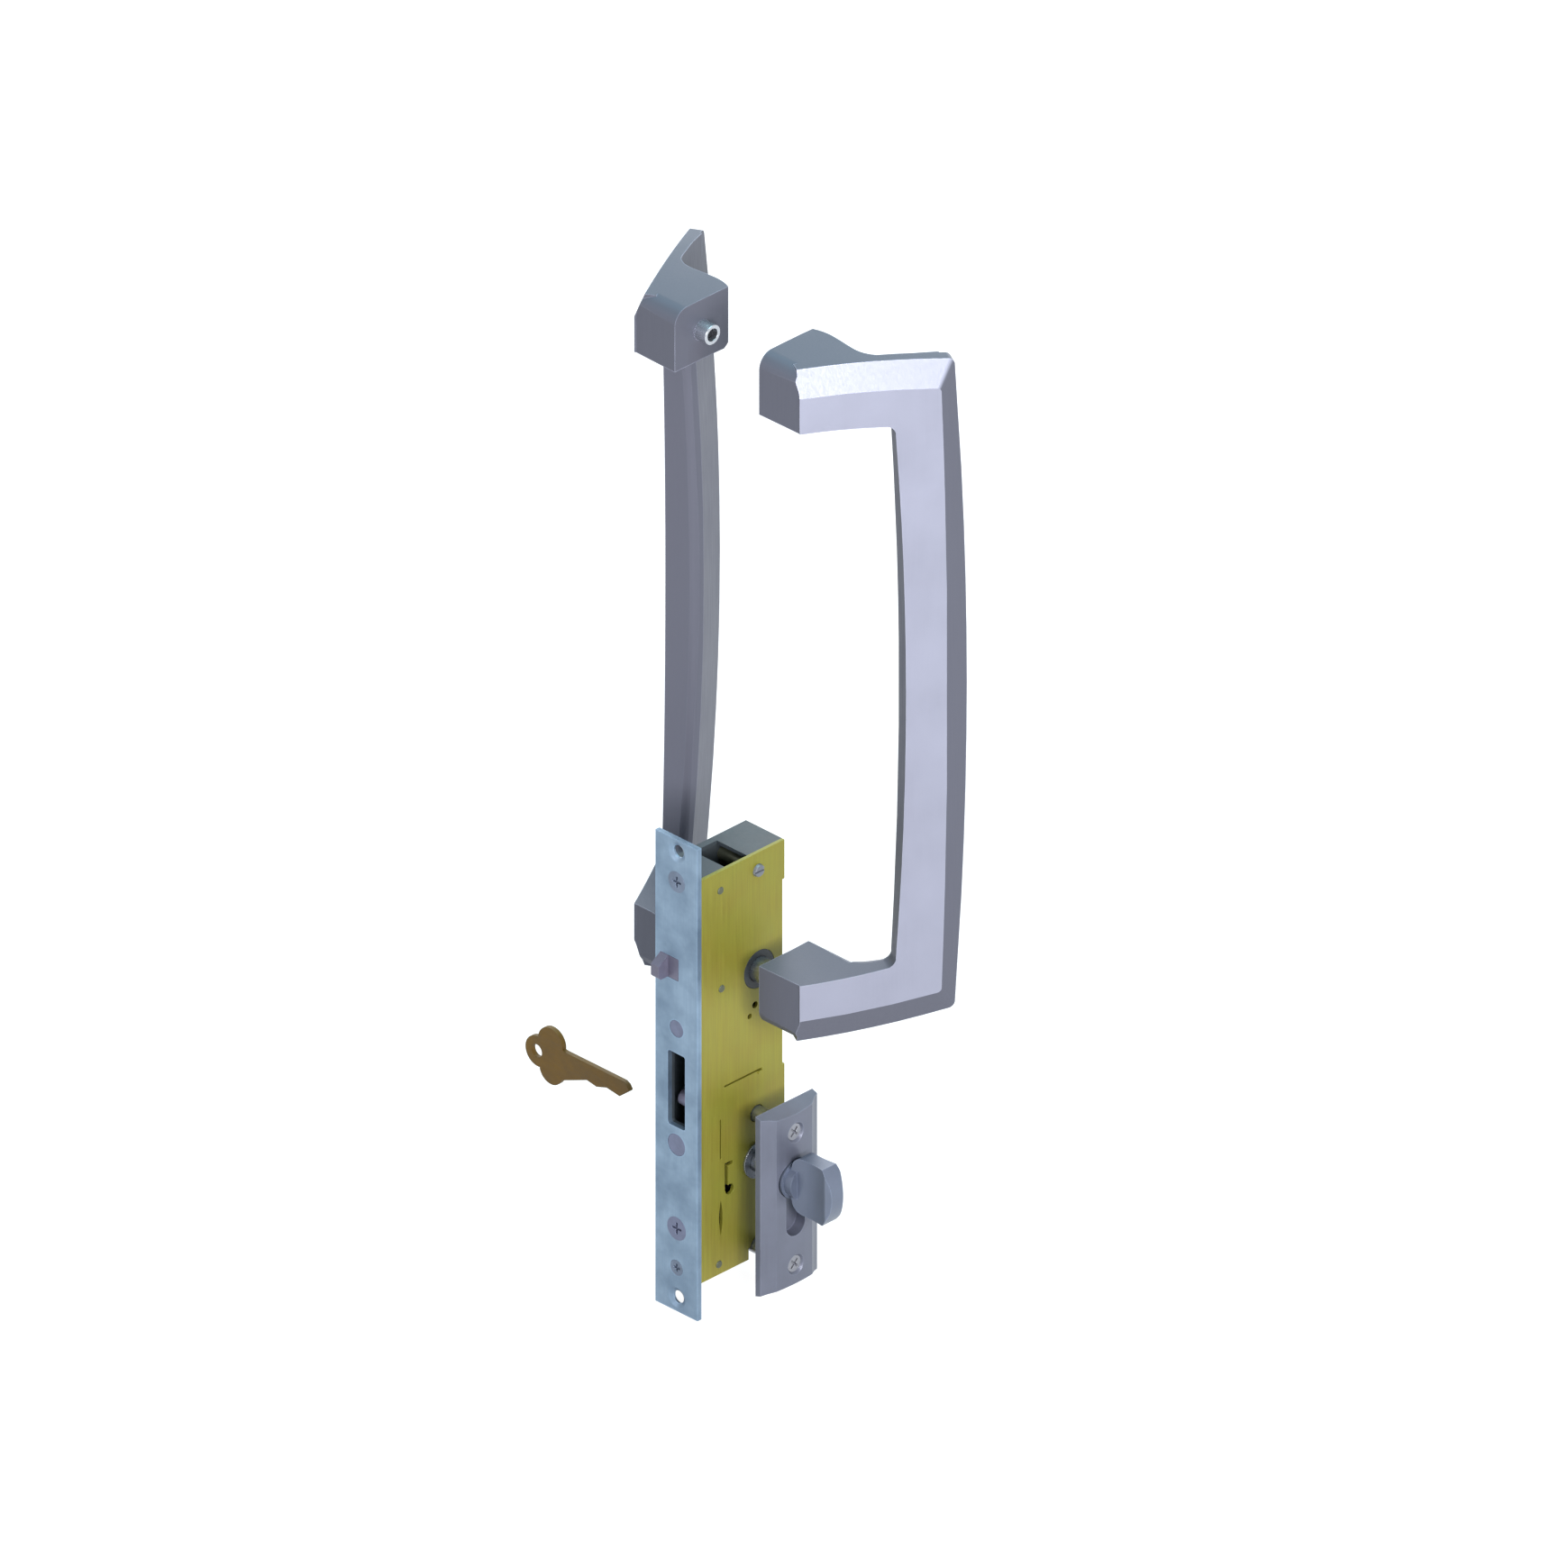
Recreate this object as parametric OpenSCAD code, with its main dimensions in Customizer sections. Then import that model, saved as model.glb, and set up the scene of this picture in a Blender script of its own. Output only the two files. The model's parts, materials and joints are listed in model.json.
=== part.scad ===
// Sliding patio door lock set: a mortise hook lock on its faceplate, two pull handles,
// a thumbturn on its escutcheon, a key cylinder and a key, placed as on a door that is left out.
// Millimetres. +X points into the room, -Y out of the door's edge, +Z up.
// The origin is the centre of the faceplate's back, where it lies on the door's edge.

/* [Door] */
// Thickness of the door
door_t = 44.45; // [42:0.05:48]
// From the lock's middle plane to the room side of the door
inner_x = 24.3; // [23.5:0.1:27]

/* [Faceplate] */
// Width across the door's edge
plate_w = 22.2; // [21.6:0.1:25]
// Height
plate_h = 203.2; // [202:0.2:215]
// Thickness
plate_t = 2.1; // [1.6:0.1:2.6]
// From the middle to each mounting hole
mount_z = 96; // [94:0.5:96.5]
// Radius of the mounting holes
mount_r = 2.6; // [2.2:0.1:2.8]
// Radius of the mounting holes' countersinks
mount_sink_r = 4.8; // [4.2:0.1:5]
// From the case's top down to the upper case screw
upper_screw_drop = 3.45; // [3.35:0.05:4.5]
// From the case's bottom up to the lower case screw
lower_screw_rise = 3.75; // [3.35:0.05:4.5]
// Head radius of the upper case screw
upper_head_r = 4.5; // [4:0.1:4.8]
// Head radius of the lower case screw
lower_head_r = 3.3; // [3:0.1:4]
// Shank radius of the case screws
case_screw_r = 1.6; // [1.4:0.1:1.7]
// Height of the upper rivet
upper_rivet_z = 20; // [19:0.5:22]
// Height of the lower rivet
lower_rivet_z = -30; // [-31:0.5:-29]
// Head radius of the upper rivet
upper_rivet_r = 3.5; // [3:0.1:4]
// Head radius of the lower rivet
lower_rivet_r = 4.5; // [4:0.1:4.8]
// Shank radius of the rivets
rivet_r = 2; // [1.6:0.1:2.4]

/* [Case] */
// Height
case_h = 173.5; // [172:0.5:175]
// Outer thickness, tray and cover together
case_w = 20.4; // [20.2:0.1:21]
// Depth behind the faceplate
case_d = 44.8; // [44:0.1:47]
// Sheet thickness
case_wall = 1.5; // [1.3:0.05:1.6]
// Height of the notch at the lower rear corner
notch_h = 4.95; // [4.5:0.05:5.5]
// Set-back of the cover's rear edge between its two steps
cover_step = 1.1; // [0.6:0.1:1.3]
// Radius of the handle hole
handle_hole_r = 8; // [7.5:0.1:8.5]
// Width of the port for a second lock point in the top wall
port_w = 15.9; // [12:0.1:16]
// Depth of that port
port_d = 12; // [10:0.5:13]
// Radius of the staked posts between tray and cover
post_r = 2.2; // [1.9:0.1:2.3]

/* [Hook] */
// Pivot of the hook bolt, behind the faceplate's back
hook_y = 13.9; // [13.7:0.1:14.1]
// Height of that pivot
hook_z = -16; // [-16.3:0.1:-15.7]
// Reach of the hook from its pivot
hook_reach = 28.5; // [28:0.1:28.8]
// Thickness of the hook bolt
hook_t = 8; // [7.5:0.1:8.2]
// Radius of the pivot pin
pivot_r = 3; // [2.6:0.1:3.1]
// Half width of the slot that the hook comes through
slot_half = 4.5; // [4.4:0.1:5]
// Upper end of that slot
slot_top = 9.4; // [9.2:0.1:10]
// Lower end of that slot
slot_bottom = -22.3; // [-24:0.1:-21.8]
// Length of the drive arms of hook and cam
arm_r = 8.5; // [8.3:0.1:8.7]
// Angle of the drive arms at rest
arm_rest = 164.4; // [162:0.2:167]
// Radius of the link's two pins
link_pin_r = 1.8; // [1.6:0.1:1.9]

/* [Turn] */
// Turning axis of thumbturn, shaft, cam and key plug, behind the faceplate's back
turn_y = 30.3; // [29.9:0.1:30.5]
// Height of that axis
turn_z = -45.1; // [-45.4:0.1:-44.8]
// Radius of the shaft
shaft_r = 4.5; // [4.2:0.1:4.6]
// Radius of the thumbturn's hub
hub_r = 7; // [6.5:0.1:7.5]
// Radius of the collar between hub and paddle
collar_r = 8; // [7.6:0.1:8.2]
// Height of the thumbturn's paddle
paddle_h = 24; // [20:0.5:28]
// Face of the paddle, from the inner door face
paddle_reach = 28.4; // [26:0.1:32]
// Thickness of the paddle at its outer end
paddle_t = 8; // [7:0.1:9]
// Radius of the paddle's rounded end, seen from its side
paddle_end_r = 18; // [16:0.5:30]

/* [Cylinder] */
// Radius of the round part of the profile
profile_r = 8.5; // [8.4:0.05:8.6]
// Width of the profile's leg
leg_w = 10; // [9.8:0.1:10.2]
// From the turning axis to the leg's lower end
leg_drop = 24.5; // [24.4:0.1:25]
// From the turning axis down to the retaining screw
cylinder_screw_drop = 21; // [20.9:0.1:21.2]
// Outer face of the cylinder
cylinder_x = -27.2; // [-29:0.1:-27]
// Radius of the plug
plug_r = 6.5; // [6.3:0.05:6.6]
// Number of pin stacks
pin_count = 5; // [3:1:5]
// Pitch between them
pin_pitch = 4; // [3.6:0.1:4]

/* [Trigger] */
// Width of the nose
nose_w = 4.1; // [3.6:0.1:4.3]
// How far the nose stands out
nose_out = 5; // [4:0.1:5.2]
// Height of the trigger in its slot
trigger_h = 9.2; // [8.6:0.1:9.3]
// Lower end of the trigger's slot
trigger_z = 40.7; // [40.4:0.1:41]
// Height of that slot
trigger_slot_h = 9.5; // [9.4:0.1:9.8]
// Outdoor edge of that slot
trigger_x = -8.7; // [-8.7:0.1:-8.5]
// Width of that slot
trigger_slot_w = 9.8; // [9.6:0.1:10]
// Lower end of the bar that the trigger carries
trigger_bar_z = 16; // [12:0.5:30]

/* [Handles] */
// Height of the handles' centre
handle_z = 168; // [167:0.1:169]
// Distance between the studs of one handle
stud_spacing = 263.2; // [262:0.2:264]
// Distance of the studs from the faceplate's back
stud_y = 31.4; // [31.1:0.1:31.7]
// Half height of the front face at its edge
handle_half = 134.2; // [134:0.1:135]
// Lean of the front face from the door's plane
handle_lean = 28.6; // [28:0.1:29.2]
// Height of the foot at its edge side
foot_u = 21.8; // [21:0.1:23]
// Start of the foot behind the faceplate's back
foot_y = 17.4; // [16.9:0.1:17.9]
// Depth of the grip at its middle
grip_depth = 14; // [13:0.1:15]
// Width of the flat band on the grip
grip_face = 16.1; // [15.5:0.1:17]
// Width of the bevel round the front face
bevel_out = 8.8; // [8:0.1:9.2]
// Drop of that bevel
bevel_drop = 4.15; // [3.8:0.05:4.5]
// Half height of the finger window at the edge side
window_half = 118.9; // [118:0.1:119.5]
// Radius of the window's corners
window_corner = 4; // [3:0.5:6]
// Radius that rounds the grip into the back of the window
grip_round = 6.2; // [5:0.1:7]
// Radius of the foot's outer corner at the door's edge
foot_round = 6.5; // [5:0.5:8]
// Radius of the foot's corner at the window
foot_inner_round = 8; // [5:0.5:9]
// Radius of the upper studs
stud_r = 4; // [3.5:0.1:4.5]
// Radius of the threaded rod between the lower feet
rod_r = 3; // [2.6:0.1:3.1]
// Thread bore in the upper studs
stud_bore_r = 2.6; // [2.1:0.1:2.8]
// How far the upper studs stand out
stud_out = 5.8; // [4:0.1:7]
// Depth of the sleeve's seat in each lower foot
seat_depth = 1.5; // [1:0.1:2]

/* [Escutcheons] */
// Width
scut_w = 30; // [29.6:0.1:32]
// Height
scut_h = 77.4; // [77:0.1:80]
// Thickness
scut_t = 6.5; // [6:0.1:7]
// Height of the middle
scut_z = -53.8; // [-54.2:0.1:-53.4]
// Radius of the threaded posts
scut_post_r = 3.25; // [3:0.05:3.3]
// Distance between the two posts
scut_spacing = 56.8; // [56.6:0.1:57]
// Radius of the screws
scut_screw_r = 2; // [1.6:0.1:2.2]
// Head radius of the screws
scut_head_r = 3.4; // [3:0.1:3.6]
// How far the heads lie below the front
scut_head_sink = 1; // [0.6:0.1:1.4]

/* [Key] */
// Thickness
key_t = 2.2; // [1.8:0.1:2.2]
// Length of the blade from its tip to the bow
blade_l = 34; // [32:0.5:36]
// Radius of the bow's upper lobe
upper_lobe_r = 6.5; // [6.2:0.1:7]
// Radius of the bow's lower lobe
lower_lobe_r = 6; // [5.7:0.1:6.5]
// Radius of the bow's end lobe
end_lobe_r = 6.4; // [6:0.1:7]
// Radius of the hole in the bow
bow_hole_r = 2.7; // [2:0.1:3]
// Where the free key's tip hangs
key_tip_x = -56.3; // [-60:0.1:-55]
// Travel of the key into the plug
key_travel = 50.8; // [50:0.1:51]

/* [Clearances] */
// Between a pin or shaft and its bore
run_gap = 0.05; // [0.03:0.01:0.08]
// Between parts that pass each other
free_gap = 0.3; // [0.2:0.05:0.4]

/* [Hidden] */
$fn = 64;
eps = 0.01;
// How far a cutter stands past what it cuts
over = 1;
// Faces of the door, the faceplate and the case
outer_x = inner_x - door_t;
plate_y0 = -plate_t;
case_x0 = -case_w / 2;
case_x1 = case_w / 2;
tray_x0 = case_x0 + case_wall;
tray_x1 = case_x1 - case_wall;
case_y1 = case_d;
room_y0 = case_wall;
case_z0 = -case_h / 2;
case_z1 = case_h / 2;
notch_y = 25.9;
notch_relief_r = 3.6;
port_x0 = tray_x1 - port_w;
port_y0 = 14.4;
slit_y1 = 32.9;
slit_z = -7.4;
// Faceplate screws, the blocks they enter, and the rivets
upper_screw_z = case_z1 - upper_screw_drop;
lower_screw_z = case_z0 + lower_screw_rise;
block_half_w = 5;
block_h = 6.2;
block_y1 = 7.9;
sink_depth = 1.7;
mount_sink_depth = 1.3;
rivets = [[upper_rivet_z, upper_rivet_r], [lower_rivet_z, lower_rivet_r]];
// Posts of the case: front top, front middle and front bottom, and the screwed one at the rear top
post_neck_r = 1.5;
post_places = [[11, case_z1 - 8.35], [11.6, 35.9], [10.2, case_z0 + 4.35], [30.7, case_z1 - 7.45]];
// Points that both escutcheons, the case and the posts share
post_hole_gap = 0.35;
scut_post_z = [scut_z + scut_spacing / 2, scut_z - scut_spacing / 2];
scut_head_t = 1.8;
scut_head_x = inner_x + scut_t - scut_head_sink;
scut_head_slope = (scut_head_r - scut_screw_r) / scut_head_t;
cylinder_screw_z = turn_z - cylinder_screw_drop;
cylinder_screw_r = 2.2;
cylinder_head_r = 5;
// Arms of the hook and the cam, parallel and equal, so that the link stays parallel too
arm_dy = arm_r * cos(arm_rest);
arm_dz = arm_r * sin(arm_rest);
tail_y = hook_y + arm_dy;
tail_z = hook_z + arm_dz;
arm_eye_r = 3.2;
hook_hub_r = 7;
cam_r = 7;
// Layers along X
cam_half = 4.3;
link_x0 = hook_t / 2 + 0.6;
link_x1 = link_x0 + 2;
link_half = 2.4;
pin_head_x = link_x1 + 0.15;
pin_end_x = pin_head_x + 0.8;
// Shaft, its tongue in the cam, the plug's nose and the ring in the shaft's groove
bushing_r = 6;
tongue_w = 6;
tongue_t = 2.6;
nose_r = 3.9;
clip_t = 0.7;
clip_x0 = inner_x + run_gap;
clip_r = shaft_r + 2;
clip_room_r = clip_r + 0.2;
clip_room_d = clip_t + 0.1;
scut_floor = 1.5;
groove_r = shaft_r - 0.7;
hub_x0 = inner_x + 1.8;
hub_x1 = inner_x + 8.7;
shaft_x1 = hub_x1 + 1;
// Leaf spring beside the cam and its post
leaf_y = turn_y + cam_r + free_gap;
leaf_t = 0.5;
leaf_post_r = 2;
detent_y = leaf_y + leaf_t / 2 - leaf_post_r;
detent_z = -28;
// Trigger, its tail pin and the guide
trigger_y1 = 7.9;
trigger_pin_x = -3.8;
trigger_pin_r = 1.6;
guide_y0 = 17.9;
guide_y1 = 21.9;
guide_pin_y = (guide_y0 + guide_y1) / 2;
guide_pin_z = 45.5;
// Handles: the front face's edges and outline arcs, and the feet
window_edge = 40.9;
face_edge = window_edge + grip_face;
back_rise = 10.5;
back_depth = 75;
window_arc_r = 255;
window_side_r = 1600;
window_t0 = -50;
// Back rounding of the window: where it fades in, and how its cutter keeps clear of the straight cut
fade_t = 22;
fade_w = 16;
fade_inset = 0.3;
ring_inset = 0.1;
ring_back = 0.6;
foot_edge_drop = 1.3;
foot_z0 = window_half - foot_edge_drop;
foot_z1 = handle_half + back_rise - eps;
foot_width = 29.1;
lower_stud_z = handle_z - stud_spacing / 2;
upper_stud_z = handle_z + stud_spacing / 2;
stud_depth = 12;
sleeve_r = 5;
// Cylinder and key
cylinder_end = -cam_half - free_gap;
key_top = 5.3;
key_bottom = 2.8;
pin_r = 1.25;
driver_h = 4;
spring_low = 22;
first_pin_x = cylinder_end - 3.1;

// A flat outline drawn in Y and Z, carried along X from x0 to x1
module through_x(x0, x1) {
    translate([x0, 0, 0]) rotate([90, 0, 90]) linear_extrude(x1 - x0) children();
}

// A flat outline drawn in X and Z, carried along Y from y0 to y1
module through_y(y0, y1) {
    translate([0, y1, 0]) rotate([90, 0, 0]) linear_extrude(y1 - y0) children();
}

// A round bar along X, drawn at Y and Z
module bar_x(x0, x1, y, z, r, end_r = -1) {
    translate([x0, y, z]) rotate([0, 90, 0])
        cylinder(h = x1 - x0, r1 = r, r2 = end_r < 0 ? r : end_r);
}

// A round bar along Y, drawn at X and Z
module bar_y(y0, y1, x, z, r, end_r = -1) {
    translate([x, y0, z]) rotate([-90, 0, 0])
        cylinder(h = y1 - y0, r1 = r, r2 = end_r < 0 ? r : end_r);
}

// A block between two corners
module block(low, high) {
    translate(low) cube(high - low);
}

// The rounded slot outline that the faceplate and the front wall share
module slot_outline(x0, x1, z0, z1, r) {
    for (x = [x0 + r, x1 - r]) {
        for (z = [z0 + r, z1 - r]) translate([x, z]) circle(r);
    }
    translate([x0 + r, z0]) square([x1 - x0 - 2 * r, z1 - z0]);
    translate([x0, z0 + r]) square([x1 - x0, z1 - z0 - 2 * r]);
}

// Faceplate
module faceplate() {
    color("#8ca5be") difference() {
        block([-plate_w / 2, plate_y0, -plate_h / 2], [plate_w / 2, 0, plate_h / 2]);
        for (z = [-mount_z, mount_z]) {
            bar_y(plate_y0 - over, over, 0, z, mount_r);
            bar_y(plate_y0 - eps, plate_y0 + mount_sink_depth, 0, z, mount_sink_r, mount_r);
        }
        sunk_hole(upper_screw_z, upper_head_r, case_screw_r);
        sunk_hole(lower_screw_z, lower_head_r, case_screw_r);
        sunk_hole(cylinder_screw_z, cylinder_head_r, cylinder_screw_r);
        for (rivet = rivets) bar_y(plate_y0 - over, over, 0, rivet[0], rivet[1] + run_gap);
        through_y(plate_y0 - over, over) slot_outline(-slot_half, slot_half, slot_bottom, slot_top, 1);
        through_y(plate_y0 - over, over) slot_outline(trigger_x, trigger_x + trigger_slot_w,
            trigger_z, trigger_z + trigger_slot_h, 0.4);
    }
}

// A countersunk hole through the faceplate that leaves a running gap round its screw
module sunk_hole(z, head_r, shank_r) {
    bar_y(plate_y0 - over, over, 0, z, shank_r + run_gap);
    bar_y(plate_y0 - eps, plate_y0 + sink_depth + run_gap, 0, z, head_r + run_gap, shank_r + run_gap);
}

// A flush countersunk screw with a cross recess
module sunk_screw(z, head_r, shank_r, end_y) {
    difference() {
        union() {
            bar_y(plate_y0, plate_y0 + sink_depth, 0, z, head_r, shank_r);
            bar_y(plate_y0 + sink_depth - eps, end_y, 0, z, shank_r);
        }
        for (turn = [0, 90]) translate([0, 0, z]) rotate([0, turn, 0])
            block([-head_r * 0.5, plate_y0 - over, -0.45],
                [head_r * 0.5, plate_y0 + sink_depth * 0.7, 0.45]);
    }
}

// The two screws that hold the case to the faceplate
module faceplate_screws() {
    color("silver") {
        sunk_screw(upper_screw_z, upper_head_r, case_screw_r, block_y1 - 1);
        sunk_screw(lower_screw_z, lower_head_r, case_screw_r, block_y1 - 1);
    }
}

// The two rivets between faceplate and case
module faceplate_rivets() {
    color("#9fb2c6") for (rivet = rivets) {
        bar_y(plate_y0, 0, 0, rivet[0], rivet[1]);
        bar_y(-eps, room_y0 + eps, 0, rivet[0], rivet_r);
        bar_y(room_y0, room_y0 + 1.2, 0, rivet[0], rivet_r + 1.2, rivet_r);
    }
}

// The long screw that holds the key cylinder
module cylinder_screw() {
    color("silver") sunk_screw(cylinder_screw_z, cylinder_head_r, cylinder_screw_r, turn_y + 3);
}

// Side view of the case, grown or shrunk by a wall
module case_outline(inset) {
    difference() {
        translate([inset, case_z0 + inset])
            square([case_d - 2 * inset, case_h - 2 * inset]);
        translate([notch_y - inset, case_z0 - over]) square([case_d, notch_h + over + inset]);
        translate([turn_y, scut_post_z[1]]) circle(notch_relief_r + inset);
    }
}

// Euro profile, grown by a gap
module euro_outline(grow) {
    translate([turn_y, turn_z]) circle(profile_r + grow);
    translate([turn_y, turn_z - leg_drop + leg_w / 2]) circle(leg_w / 2 + grow);
    translate([turn_y - leg_w / 2 - grow, turn_z - leg_drop + leg_w / 2])
        square([leg_w + 2 * grow, leg_drop - leg_w / 2]);
}

// Tray of the case: back, top, bottom, front and rear walls
module case_tray() {
    color("#7a8288") difference() {
        through_x(case_x0, tray_x1) case_outline(0);
        through_x(tray_x0, tray_x1 + over) case_outline(case_wall);
        through_y(-over, room_y0 + over)
            slot_outline(-slot_half, slot_half, slot_bottom, slot_top + 2.6, 1);
        through_y(-over, room_y0 + over) slot_outline(trigger_x + eps,
            trigger_x + trigger_slot_w, trigger_z, trigger_z + trigger_slot_h, 0.4);
        for (rivet = rivets) bar_y(-over, room_y0 + over, 0, rivet[0], rivet_r + run_gap);
        for (z = [upper_screw_z, lower_screw_z])
            bar_y(-over, room_y0 + over, 0, z, case_screw_r + run_gap);
        bar_y(-over, room_y0 + over, 0, cylinder_screw_z, cylinder_screw_r + run_gap);
        block([port_x0, port_y0, case_z1 - case_wall - over],
            [tray_x1 + over, port_y0 + port_d, case_z1 + over]);
        through_x(case_x0 - over, tray_x0 + over) euro_outline(free_gap);
        bar_x(case_x0 - over, tray_x0 + over, stud_y, lower_stud_z, handle_hole_r);
        bar_x(case_x0 - over, tray_x0 + over, turn_y, scut_post_z[0], scut_post_r + post_hole_gap);
        bar_x(case_x0 - over, tray_x0 + over, hook_y, hook_z, pivot_r - 0.5 + run_gap);
        for (p = post_places) bar_x(case_x0 - over, tray_x0 + over, p[0], p[1], post_neck_r + run_gap);
        bar_x(case_x0 - over, tray_x0 + over, guide_pin_y, guide_pin_z, post_neck_r + run_gap);
        bar_x(case_x0 - over, tray_x0 + over, detent_y, detent_z, post_neck_r + run_gap);
    }
}

// Yellow plated cover of the case
module case_cover() {
    color("#a8a53c") difference() {
        union() {
            through_x(tray_x1, case_x1) cover_outline();
            block([case_x1 - eps, slit_y1 - 2.2, slit_z - 1.1], [case_x1 + 0.5, slit_y1, slit_z]);
        }
        bar_x(tray_x1 - over, case_x1 + over, stud_y, lower_stud_z, handle_hole_r);
        bar_x(tray_x1 - over, case_x1 + over, turn_y, turn_z, bushing_r + run_gap);
        bar_x(tray_x1 - over, case_x1 + over, turn_y, scut_post_z[0], scut_post_r + post_hole_gap);
        for (p = post_places) bar_x(tray_x1 - over, case_x1 + over, p[0], p[1], post_neck_r + run_gap);
        bar_x(tray_x1 - over, case_x1 + over, 29.2, 21.8, 1.4);
        bar_x(tray_x1 - over, case_x1 + over, 26.4, 17.9, 1.1);
        through_x(tray_x1 - over, case_x1 + over) cover_slots();
    }
}

// Side view of the cover
module cover_outline() {
    difference() {
        case_outline(0);
        translate([case_y1 - cover_step, -9.7]) square([cover_step + over, 79.7]);
    }
}

// Slots cut in the cover
module cover_slots() {
    arm_t = 1.6;
    arm_z = -41;
    foot_hole = [15.8, -52.2];
    arm_y = foot_hole[0] - 1.7;
    lens_r = 35.1;
    lens_half = 0.9;
    translate([slit_y1 - 20, slit_z]) square([20, 0.8]);
    translate([10.65, -37.5]) square([0.7, 17.1]);
    translate([11.2, -63]) intersection() {
        translate([lens_r - lens_half, 0]) circle(lens_r, $fn = 360);
        translate([lens_half - lens_r, 0]) circle(lens_r, $fn = 360);
    }
    translate([arm_y - arm_t / 2, foot_hole[1]]) square([arm_t, arm_z - foot_hole[1]]);
    translate([arm_y - arm_t / 2, arm_z - arm_t / 2]) square([4.1, arm_t]);
    translate(foot_hole) circle(2.2);
}

// Staked posts that carry the cover
module case_posts() {
    color("#b4b06a") for (i = [0, 1, 2]) {
        p = post_places[i];
        bar_x(case_x0, case_x1 + 0.25, p[0], p[1], post_neck_r);
        bar_x(tray_x0, tray_x1, p[0], p[1], post_r);
    }
    color("#b4b06a") screw_post();
}

// The post that takes the cover's screw
module screw_post() {
    p = post_places[3];
    difference() {
        union() {
            bar_x(case_x0, tray_x0 + eps, p[0], p[1], post_neck_r);
            bar_x(tray_x0, tray_x1, p[0], p[1], post_r + 0.6);
        }
        bar_x(tray_x1 - 9, tray_x1 + over, p[0], p[1], post_neck_r + run_gap);
    }
}

// Screw of the cover
module cover_screw() {
    p = post_places[3];
    color("silver") difference() {
        union() {
            bar_x(tray_x1 - 8, case_x1 + eps, p[0], p[1], post_neck_r);
            bar_x(case_x1, case_x1 + 1.3, p[0], p[1], 2.7, 2.3);
        }
        block([case_x1 + 0.6, p[0] - 3.5, p[1] - 0.4], [case_x1 + 2, p[0] + 3.5, p[1] + 0.4]);
    }
}

// Tapped blocks behind the front wall
module tapped_blocks() {
    color("#8a8f94") {
        tapped_block(upper_screw_z, case_z1 - case_wall);
        tapped_block(lower_screw_z, case_z0 + case_wall + block_h);
    }
}

// One of them, below the height top
module tapped_block(screw_z, top) {
    difference() {
        block([-block_half_w, room_y0, top - block_h], [block_half_w, block_y1, top]);
        bar_y(room_y0 - over, block_y1 + over, 0, screw_z, case_screw_r + run_gap);
    }
}

// Hook bolt, shut away inside the case at rest, with its beak to the front
module hook_bolt() {
    color("#5a4b3c") difference() {
        union() {
            through_x(-hook_t / 2, hook_t / 2) hook_outline();
            bar_x(-hook_t / 2, hook_t / 2, hook_y, hook_z, hook_hub_r);
            bar_x(-hook_t / 2, hook_t / 2, tail_y, tail_z, arm_eye_r);
            through_x(-hook_t / 2, hook_t / 2) polygon([[hook_y - 2, hook_z + 6],
                [tail_y - 1, tail_z + 3.03], [tail_y - 1, tail_z - 3.03],
                [hook_y - 2, hook_z - 6]]);
        }
        bar_x(-hook_t, hook_t, hook_y, hook_z, pivot_r + run_gap);
        bar_x(-hook_t, hook_t, tail_y, tail_z, link_pin_r + run_gap);
    }
}

// Side view of the hook: arm, beak and throat
module hook_outline() {
    back = 5.5;
    arm_edge = -4.5;
    beak = -11.5;
    throat_low = 10;
    throat_high = 21.5;
    throat_r = 3;
    intersection() {
        translate([hook_y, hook_z]) circle(hook_reach);
        translate([hook_y, hook_z]) difference() {
            translate([beak, 0]) square([back - beak, hook_reach]);
            translate([beak - over, -over]) square([arm_edge - beak + over, throat_low + over + throat_r]);
            translate([beak - over, throat_low]) square([arm_edge - beak + over - throat_r,
                throat_high - throat_low]);
            translate([arm_edge - throat_r, throat_high - throat_r]) circle(throat_r);
            translate([arm_edge - throat_r - eps, throat_low])
                square([throat_r + eps, throat_high - throat_r - throat_low]);
        }
    }
}

// Pivot pin of the hook, riveted in the tray's back and held under the cover
module hook_pivot() {
    color("silver") {
        bar_x(case_x0, tray_x0 + eps, hook_y, hook_z, pivot_r - 0.5);
        bar_x(tray_x0, tray_x1, hook_y, hook_z, pivot_r);
    }
}

// Sleeve that keeps the hook in the middle of the case
module hook_spacer() {
    color("#8a8f94") difference() {
        bar_x(tray_x0, -hook_t / 2 - 0.1, hook_y, hook_z, 5);
        bar_x(tray_x0 - over, 0, hook_y, hook_z, pivot_r + run_gap);
    }
}

// Pin of a drive arm, headed outside the link
module link_pin(x0, y, z) {
    bar_x(x0, pin_head_x + eps, y, z, link_pin_r);
    bar_x(pin_head_x, pin_end_x, y, z, link_pin_r + 0.8);
}

// Pin in the hook's tail
module hook_pin() {
    color("silver") link_pin(-hook_t / 2, tail_y, tail_z);
}

// Pin in the cam's arm
module cam_pin() {
    color("silver") link_pin(-cam_half, turn_y + arm_dy, turn_z + arm_dz);
}

// Link from the cam's arm to the hook's tail
module drive_link() {
    cam_end = [turn_y + arm_dy, turn_z + arm_dz];
    hook_end = [tail_y, tail_z];
    span = norm(hook_end - cam_end);
    lean = atan2(hook_end[1] - cam_end[1], hook_end[0] - cam_end[0]);
    color("#8a8f94") through_x(link_x0, link_x1) difference() {
        union() {
            translate(cam_end) circle(3);
            translate(hook_end) circle(3);
            translate(cam_end) rotate(lean) translate([0, -link_half]) square([span, 2 * link_half]);
        }
        translate(cam_end) circle(link_pin_r + run_gap);
        translate(hook_end) circle(link_pin_r + 0.15);
    }
}

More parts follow.
